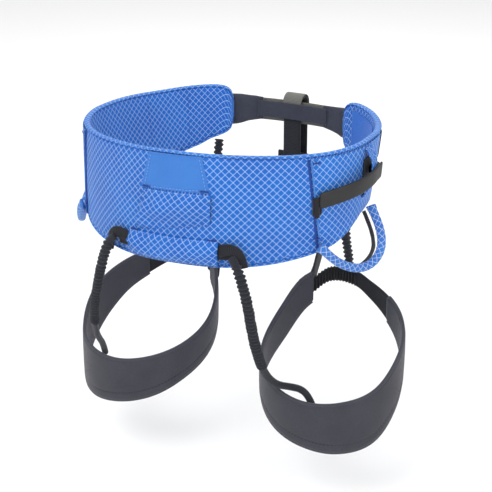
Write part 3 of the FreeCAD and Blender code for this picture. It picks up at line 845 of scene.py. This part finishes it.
piece("strapRoll_right", tubeMesh(spreadEvenly(rollSpots, 20), 12,
                                    lambda s, t: (2.6 * mm * math.cos(t), 1.8 * mm * math.sin(t))),
      finishes["blackWebbing"], "belt")


def innerCloth(s, t):
    angle = mix(innerPatch["first"], innerPatch["last"], s)
    height = mix(lowEdge(angle) + innerPatch["aboveEdge"], highEdge(angle) - innerPatch["belowEdge"], t)
    return onBelt(angle, height, innerPatch["stand"]), (girth(angle), height * mm)


bm = clothMesh(50, 24, innerCloth)
bmesh.ops.reverse_faces(bm, faces=bm.faces)
piece("innerPatch_right", bm, finishes["innerPatch"], "belt", ["wing_inner_patch_right"],
      thick=0.0006)
print("stage: side panels and tool straps")


# front closure
sleeveLow = [(146, -9), (158, -9), (165, -4), (169.5, -1)]
sleeveHigh = [(146, 24), (158, 25.5), (165, 24.5), (169.5, 24)]
sleeveThick = [(146, 2.2), (151, 6.2), (158, 6.4), (165, 5.2), (169.5, 3.0)]
tailStands = [(124, 5.65), (131, 5.65), (134, 5.65), (136, 5.8), (140, 11.0), (143, 17.1), (145.5, 20.5),
              (149, 20.1),
              (154, 18.6)]
webbingLine = {"first": 149, "last": 211, "low": -3.0, "high": 21.0, "stand": 10.2, "layer": 1.35}


def creased(angle, height, stand):  # a crease a third of the way up
    if stand > 4:
        fold = mix(between(sleeveLow, abs(angle)), between(sleeveHigh, abs(angle)), 0.36)
        stand -= 1.3 * math.exp(-((height - fold) / 1.6) ** 2)
        stand += ripple(Vector((angle * 2.0, height * 0.4, 4.0)), 5.0, 0.9)
    return angle, height, stand


for side, sign in (("left", -1), ("right", 1)):
    frontSleeve = piece("frontSleeve_" + side,
                        paddedWall(onBelt, girth, sign * 146, sign * 169.5,
                                   lambda a: between(sleeveLow, abs(a)),
                                   lambda a: between(sleeveHigh, abs(a)),
                                   3.2, lambda a: 3.2 + between(sleeveThick, abs(a)), 60, 20, 0.4, creased),
                        finishes["sleeve"], "belt", ["front_sleeve_" + side])
    inflate(frontSleeve, 2.0, 1.2 * mm)
piece("innerBand", paddedWall(onBelt, girth, 167.6, 192.4, 3, 21, 1.0, 3.0, 50, 8, 0.1),
      finishes["sleeve"], "belt", ["front_inner_band"])
for layer in range(2):
    near = webbingLine["stand"] + layer * (webbingLine["layer"] + 0.08)
    piece("waistWebbing%d" % (layer + 1),
          paddedWall(onBelt, girth, webbingLine["first"] + layer, webbingLine["last"] - layer,
                     webbingLine["low"],
                     webbingLine["high"], near, near + webbingLine["layer"], 110, 10, 0.05),
          finishes["blackWebbing" if layer else "oliveWebbing"], "belt", ["waist_webbing"])
piece("webbingTail", paddedWall(onBelt, girth, 124, 154, -3.0, 21.0, lambda a: between(tailStands, a),
                                lambda a: between(tailStands, a) + 1.4, 90, 10, 0.05),
      finishes["blackWebbing"], "belt", ["webbing_tail"])


keeper = {"angle": 129, "height": 9, "stand": 6.35, "halfHeight": 14.9, "halfDepth": 2.1, "halfAngle": 2.0}


def keeperRing(s, t):  # elastic loop round the tail
    turn = 2 * math.pi * s
    up = math.copysign(abs(math.sin(turn)) ** 0.35, math.sin(turn)) * keeper["halfHeight"]
    out = math.copysign(abs(math.cos(turn)) ** 0.5, math.cos(turn)) * keeper["halfDepth"]
    angle = keeper["angle"] + mix(-keeper["halfAngle"], keeper["halfAngle"], t)
    return onBelt(angle, keeper["height"] + up, keeper["stand"] + out), (s * 0.066, t * 0.010)


bm = clothMesh(80, 6, keeperRing, closed=True)
bmesh.ops.recalc_face_normals(bm, faces=bm.faces)
piece("webbingKeeper", bm, finishes["elastic"], "keeper", ["webbing_keeper"], thick=0.0007)
for node in ("buckle_frame", "buckle_bar"):
    for holder in bpy.data.objects[node].material_slots:
        holder.material = finishes["metal"]
print("stage: front closure")


# tie-in loop, its cover and the bridge between the legs
loopShape = {"near": 141.0, "far": 159.0, "top": 26.1, "bottom": -62.5, "x": -3, "width": 20, "thick": 3.0}


def loopSpots(grow, lowest):
    # points round the loop in the Y-Z plane, from the near side up and over
    radius = (loopShape["far"] - loopShape["near"]) / 2 + grow
    middle = (loopShape["far"] + loopShape["near"]) / 2
    topCentre, lowCentre = loopShape["top"] + grow - radius, loopShape["bottom"] - grow + radius
    foot = max(lowCentre, lowest)
    turns = [math.pi * i / 16 for i in range(17)]
    spots = [(middle - radius, mix(foot, topCentre, i / 20)) for i in range(20)]
    spots += [(middle - radius * math.cos(turn), topCentre + radius * math.sin(turn)) for turn in turns[:16]]
    spots += [(middle + radius, mix(topCentre, foot, i / 20)) for i in range(20)]
    if lowest < lowCentre:
        spots += [(middle + radius * math.cos(turn), lowCentre - radius * math.sin(turn)) for turn in turns]
    else:
        spots.append((middle + radius, lowest))
    return [Vector((loopShape["x"], *spot)) * mm for spot in spots]


piece("tieInLoop", tubeMesh(spreadEvenly(loopSpots(0, -100), 260), 32,
                            flatSection(loopShape["width"], loopShape["thick"], 0.06, 52),
                            lambda s: (1, 0, 0)),
      finishes["blackWebbing"], "tie_in_loop", ["belay_loop"])
piece("loopCover", tubeMesh(spreadEvenly(loopSpots(2.2, 14.0), 80), 28, flatSection(21.6, 1.2),
                            lambda s: (1, 0, 0)),
      finishes["oliveWebbing"], "tie_in_loop", ["belay_loop_cover"])
bridgeSpots = [Vector((x, 150 + 0.0006 * x * x, -48)) * mm for x in range(-23, 24, 2)]
piece("legBridge", tubeMesh(spreadEvenly(bridgeSpots, 40), 24, flatSection(20, 4.0), lambda s: (0, 0, 1)),
      finishes["blackWebbing"], "belt", ["leg_bridge"])
print("stage: tie-in loop")


# leg loops
leg = {"x": 107, "y": 4.5, "radius": 72, "start": -140, "end": 150, "webbingEnd": 183, "hem": 9,
       "rise": [(-142, -150), (-130, -160), (-110, -186), (-90, -203), (-60, -220), (-30, -234), (0, -242),
                (30, -243), (60, -235), (90, -209), (110, -192), (130, -176), (150, -163), (170, -150),
                (183, -141),
                (205, -138), (222, -152)],
       "width": [(-142, 32), (-120, 38), (-90, 36), (-60, 38), (-30, 44), (0, 48), (30, 54), (60, 56),
                 (90, 52),
                 (110, 44), (130, 34), (150, 27), (170, 20), (183, 17)]}
innerStations = [((33, 147.5, -53), (1, 0, 0.4)), ((40, 141, -70), (1, 0.1, 0.35)),
                 ((47, 129, -88), (0.8, 0.1, 0.5)),
                 ((52, 113, -107), (0.5, 0, 0.9)), ((53, 96, -124), (0.2, 0, 1)),
                 ((54.5, 83, -135), (0, 0, 1)),
                 ((56, 73, -142), (0, 0, 1)), ((56.6, 65.5, -147), (0, 0, 1)),
                 ((52.9, 58.6, -151), (0, 0, 1)),
                 ((49.6, 55.1, -152.5), (0, 0, 1))]


def legFoot(angle):
    return between(leg["rise"], angle) - between(leg["width"], angle) / 2


def legHead(angle):
    return between(leg["rise"], angle) + between(leg["width"], angle) / 2


def legGirth(angle):
    return math.radians(angle) * leg["radius"] * mm


def hemmed(angle, height, stand):  # a sewn hem runs along the lower edge
    if stand > 0:
        stand -= 0.45 * math.exp(-((height - legFoot(angle) - leg["hem"]) / 0.9) ** 2)
    stand += ripple(Vector((angle * 0.12, height * 0.06, 0)), 1.6, 0.25)
    return angle, height, stand


def makeLeg(side, sign):
    body = "leg_" + side

    def onLeg(angle, height, stand):
        turn = math.radians(angle)
        reach = leg["radius"] + stand
        return Vector((sign * (leg["x"] + reach * math.sin(turn)), leg["y"] - reach * math.cos(turn),
                       height)) * mm

    band = piece("legBand_" + side, paddedWall(onLeg, legGirth, leg["start"], leg["end"], legFoot, legHead,
                                               -2, 2,
                                               210, 26, 0.35, hemmed),
                 finishes["band"], body,
                 ["leg_band_foam_" + side, "leg_band_shell_" + side, "leg_band_lining_" + side])
    for name, height in (("Top", legHead), ("Bottom", legFoot)):
        spots = [onLeg(angle, height(angle) + (-0.9 if name == "Top" else 0.9), 0)
                 for angle in range(leg["start"] + 1, leg["end"], 2)]
        piece("legEdge%s_%s" % (name, side),
              tubeMesh(spreadEvenly(spots, 200), 14, flatSection(5.0, 3.2), lambda s: (0, 0, 1)),
              finishes["lining"], body)
    piece("sideWebbing_" + side, paddedWall(onLeg, legGirth, 150, leg["webbingEnd"], legFoot, legHead, -1.4,
                                            1.4,
                                            40, 10, 0.1),
          finishes["blackWebbing"], body, ["leg_side_webbing_" + side])

    def ribbed(angle, height, stand):  # the elastic gathers into fourteen ribs
        wave = math.sin((angle - 183.3) / 36.4 * 14 * 2 * math.pi)
        middle = between(leg["rise"], angle)
        return angle, middle + (height - middle) * (0.95 + 0.05 * wave), stand * (1.15 + 0.5 * wave)
    piece("frontElastic_" + side, paddedWall(onLeg, legGirth, 183.3, 219.7, legFoot, legHead, -2.1, 2.1,
                                             170, 8, 0.2,
                                             ribbed),
          finishes["elastic"], body, ["leg_front_elastic_" + side])
    spots = [Vector((sign * x, y, z)) * mm for (x, y, z), way in innerStations]
    ways = [Vector((sign * a, b, c)).normalized() for spot, (a, b, c) in innerStations]

    def sideways(s):
        place = s * (len(ways) - 1)
        index = min(int(place), len(ways) - 2)
        return ways[index].lerp(ways[index + 1], place - index)
    piece("innerWebbing_" + side, tubeMesh(spreadEvenly(spots, 90), 24, flatSection(19, 2.6), sideways),
          finishes["blackWebbing"], body, ["leg_inner_webbing_" + side])
    tackLines = []
    for angle, stand in ((-138, 2.4), (180, 1.8), (147.5, 2.4)):
        low, high = legFoot(angle) + 3, legHead(angle) - 3
        tackLines += barTack(onLeg(angle, low, stand), onLeg(angle, high, stand) - onLeg(angle, low, stand),
                             onLeg(angle + 2.2, low, stand) - onLeg(angle, low, stand), 16)
    threads(tackLines, 0.45 * mm, "legTacks_" + side, finishes["thread"], body,
            ["leg_bar_tacks_" + side])
    hemSpots = [onLeg(angle, legFoot(angle) + leg["hem"], 2.0) for angle in range(leg["start"] + 2,
                                                                                  leg["end"] - 1, 2)]
    threads(seamStitches(hemSpots, 2.2 * mm, 1.6 * mm), 0.28 * mm, "hemStitches_" + side,
            finishes["elastic"], body)


makeLeg("left", -1)
makeLeg("right", 1)
print("stage: leg loops")


# risers and side cords hang between the belt and the leg loops
frontRiser = [(79, 115, -24), (78, 110, -42), (78, 104, -62), (80, 97, -82), (84, 90, -100), (90, 83, -116),
              (94.2, 78.3, -127.4)]
sideCord = [(135.5, 8, -36.8), (140.5, 9, -48), (143.5, 14, -63.5), (141.4, 24, -80), (130.3, 40, -99),
            (115.6, 57, -115.5), (103, 73, -129.2)]
rearRight = [(62.5, -132.5, -48), (68, -136, -52), (72, -137, -60), (76, -135, -75), (78, -130, -95),
             (77, -122, -117),
             (76, -112, -140), (75, -101, -160), (74, -90, -178), (75, -78, -194), (80, -67, -205),
             (90, -59.5, -208),
             (101, -57.5, -209), (110, -59.5, -214), (114, -60, -222)]
rearLeft = [(-62.5, -132.5, -48), (-67.5, -135.5, -52), (-71, -136.5, -62), (-77, -135, -79),
            (-84, -131, -97),
            (-92, -124, -117), (-102, -113, -139), (-111, -100, -161), (-118, -87, -181), (-123, -74, -194),
            (-126.5, -62, -206), (-129.5, -54, -220)]
gathers = {"pitch": 0.0046, "depth": 0.2}


def mirrored(points):
    return [(-x, y, z) for x, y, z in points]


def ruchedSection(path, diameter, seed, ruchedFrom, ruchedTo, pitch, depth):
    # gathered elastic: uneven pleats that run slightly askew round the cord
    total = pathLength(path)

    def section(s, turn):
        gathered = smoothStep(ruchedFrom - 0.03, ruchedFrom,
                              s) * (1 - smoothStep(ruchedTo, ruchedTo + 0.03, s))
        along = s * total
        drift = noise.noise(Vector((along * 90, seed, 0))) * 1.4
        skew = 0.8 * math.sin(turn + seed) + 0.5 * noise.noise(Vector((math.cos(turn), math.sin(turn),
                                                                       along * 60 + seed)))
        pleat = math.sin((along / pitch) * 2 * math.pi + drift + skew)
        lobes = noise.noise(Vector((math.cos(turn) * 1.2, math.sin(turn) * 1.2, along * 120 + seed * 3)))
        radius = diameter / 2 * (mix(0.9, 0.98, gathered) + gathered * (depth * pleat + 0.16 * lobes))
        return radius * math.cos(turn), radius * math.sin(turn) * mix(0.82, 0.94, gathered)
    return section


def makeCord(name, route, length, diameter, node, seed, ruched, finish, pitch=gathers["pitch"],
             depth=gathers["depth"]):
    spots = [Vector(point) * mm for point in route]
    count = int(length / (pitch / 7))
    path = readSpline(spots, count)
    obj = piece(name, tubeMesh(path, 26, ruchedSection(path, diameter, seed, *ruched, pitch, depth)),
                finishes[finish],
                None, [node])
    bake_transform(obj)


for side, sign in (("left", -1), ("right", 1)):
    flip = (lambda points: points) if sign > 0 else mirrored
    rear = rearRight if sign > 0 else rearLeft
    makeCord("frontRiser_" + side, flip(frontRiser), 0.113, 0.009, "front_riser_" + side,
             2 + sign,
             (0.0, 1.0), "riser")
    cordRoute = sideCord if sign > 0 else [(-135.5, 8, -39)] + mirrored(sideCord[1:])
    makeCord("sideCord_" + side, cordRoute, 0.121 + 0.001 * sign, 0.004, "side_cord_" + side,
             5 + sign, (0.0, 1.0), "riser", 0.0022, 0.06)
    makeCord("rearRiser_" + side, rear, 0.216 if sign > 0 else 0.203, 0.009,
             "rear_riser_" + side,
             9 + sign, (0.05, 0.62), "riser")
print("stage: risers")


# gear loops: covered tubes, flattened where they are sewn on
gearRoute = [(130, -85, -41.5), (137, -76.5, -54), (145.5, -63, -66), (155, -48, -73), (162.5, -34, -71.5),
             (166, -23, -63), (164.5, -16, -53), (160, -12, -42), (154.5, -11, -31.5), (150, -11.5, -22)]
gearLoop = {"diameter": 0.0086, "flatFor": 0.07, "flat": 0.5}
for side, sign in (("left", -1), ("right", 1)):
    route = gearRoute if sign > 0 else mirrored(gearRoute)
    path = readSpline([Vector(point) * mm for point in route], 150)

    def covered(s, turn):
        fromEnd = min(s, 1 - s)
        flat = mix(gearLoop["flat"], 1.0, smoothStep(0, gearLoop["flatFor"], fromEnd))
        wrinkle = 0.03 * math.sin(s * 150 + 2 * math.sin(turn)) * math.sin(turn * 2)
        radius = gearLoop["diameter"] / 2 * (0.98 + wrinkle)
        return radius * math.cos(turn) * mix(1.25, 1.0, smoothStep(0, gearLoop["flatFor"], fromEnd)), \
            radius * math.sin(turn) * flat
    piece("gearLoop_" + side, tubeMesh(path, 28, covered, lambda s: (0, 0, 1)), finishes["loop"],
          "gear_loop_" + side, ["gear_loop_sleeve_" + side, "gear_loop_core_" + side])
print("stage: gear loops")


# stitching
def beltSpots(first, last, height, stand, count=40):
    return [onBelt(mix(first, last, i / count), height(mix(first, last, i / count)),
                   stand) for i in range(count + 1)]


rows = [[onPatch(0.05 + 0.9 * i / 40, 0.055, 4.15)[0] for i in range(41)],
        [onPatch(0.05, 0.06 + 0.88 * i / 40, 4.15)[0] for i in range(41)],
        [onPatch(0.95, 0.06 + 0.88 * i / 40, 4.15)[0] for i in range(41)],
        beltSpots(-14.5, 15.5, lambda a: 6.9 + 0.03 * a, 5.2), beltSpots(-18, 18, lambda a: -37.2, 5.6)]
lines = [line for spots in rows for line in seamStitches(spots, 2.0 * mm, 1.2 * mm)]
threads(lines, 0.22 * mm, "backStitches", finishes["thread"], "belt")
tackSpots = [(-11.5, 9.0, 4.7), (11.8, 10.4, 4.7), (-17.6, -36.6, 5.4), (14.6, -36.6, 5.4)]
knots = []
for angle, height, stand in tackSpots:
    start = onBelt(angle, height, stand)
    knots += barTack(start, onBelt(angle + 3.4, height, stand) - start, Vector((0, 0, 1.7 * mm)), 9)
for sign in (-1, 1):
    for angle, height, stand in ((54.5, 35.2, 5.6), (54.8, -38, 5.6)):
        start = onBelt(sign * angle, height, stand)
        knots += barTack(start, onBelt(sign * (angle + 3.2), height, stand) - start,
                         Vector((0, 0, 1.7 * mm)), 9)
threads(knots, 0.34 * mm, "beltTacks", finishes["darkThread"], "belt", ["belt_bar_tacks"])
coverRow = [Vector((x, 138.2, 17.5)) * mm for x in range(-12, 7, 3)]
threads(seamStitches(coverRow, 1.8 * mm, 1.4 * mm), 0.25 * mm,
        "coverStitches", finishes["paleThread"], "tie_in_loop")
print("stage: stitching")


# floor and light
floor = bmesh.new()
bmesh.ops.create_grid(floor, x_segments=1, y_segments=1, size=1, matrix=Matrix.Diagonal((8, 8, 1, 1)))
floorMesh = bpy.data.meshes.new("floor")
floor.to_mesh(floorMesh)
floor.free()
floorMesh.transform(Matrix.Translation((0, 0, -0.34)))
floorObject = bpy.data.objects.new("floor", floorMesh)
bpy.context.collection.objects.link(floorObject)
floorFinish = bpy.data.materials.new("paleFloor")
floorFinish.use_nodes = True
floorFinish.node_tree.nodes["Principled BSDF"].inputs["Base Color"].default_value = (0.93, 0.93, 0.93, 1)
floorFinish.node_tree.nodes["Principled BSDF"].inputs["Roughness"].default_value = 0.9
floorMesh.materials.append(floorFinish)

world = bpy.data.worlds.new("studio")
world.use_nodes = True
world.node_tree.nodes["Background"].inputs["Color"].default_value = (1, 1, 1, 1)
world.node_tree.nodes["Background"].inputs["Strength"].default_value = 0.85
bpy.context.scene.world = world


def softLight(name, place, aim, size, power):
    data = bpy.data.lights.new(name, "AREA")
    data.size = size
    data.energy = power
    light = bpy.data.objects.new(name, data)
    bpy.context.collection.objects.link(light)
    way = Vector(aim) - Vector(place)
    light.matrix_world = Matrix.Translation(place) @ way.to_track_quat("-Z", "Y").to_matrix().to_4x4()


softLight("key", (-0.3, -1.6, 1.5), (0, 0, -0.05), 1.0, 18)
softLight("fill", (1.7, -0.6, 0.7), (0, 0, -0.05), 1.2, 8)
softLight("rim", (-0.6, 1.5, 1.2), (0, 0, 0), 1.0, 10)
bpy.context.scene.view_settings.view_transform = "Standard"
print("stage: floor and light")
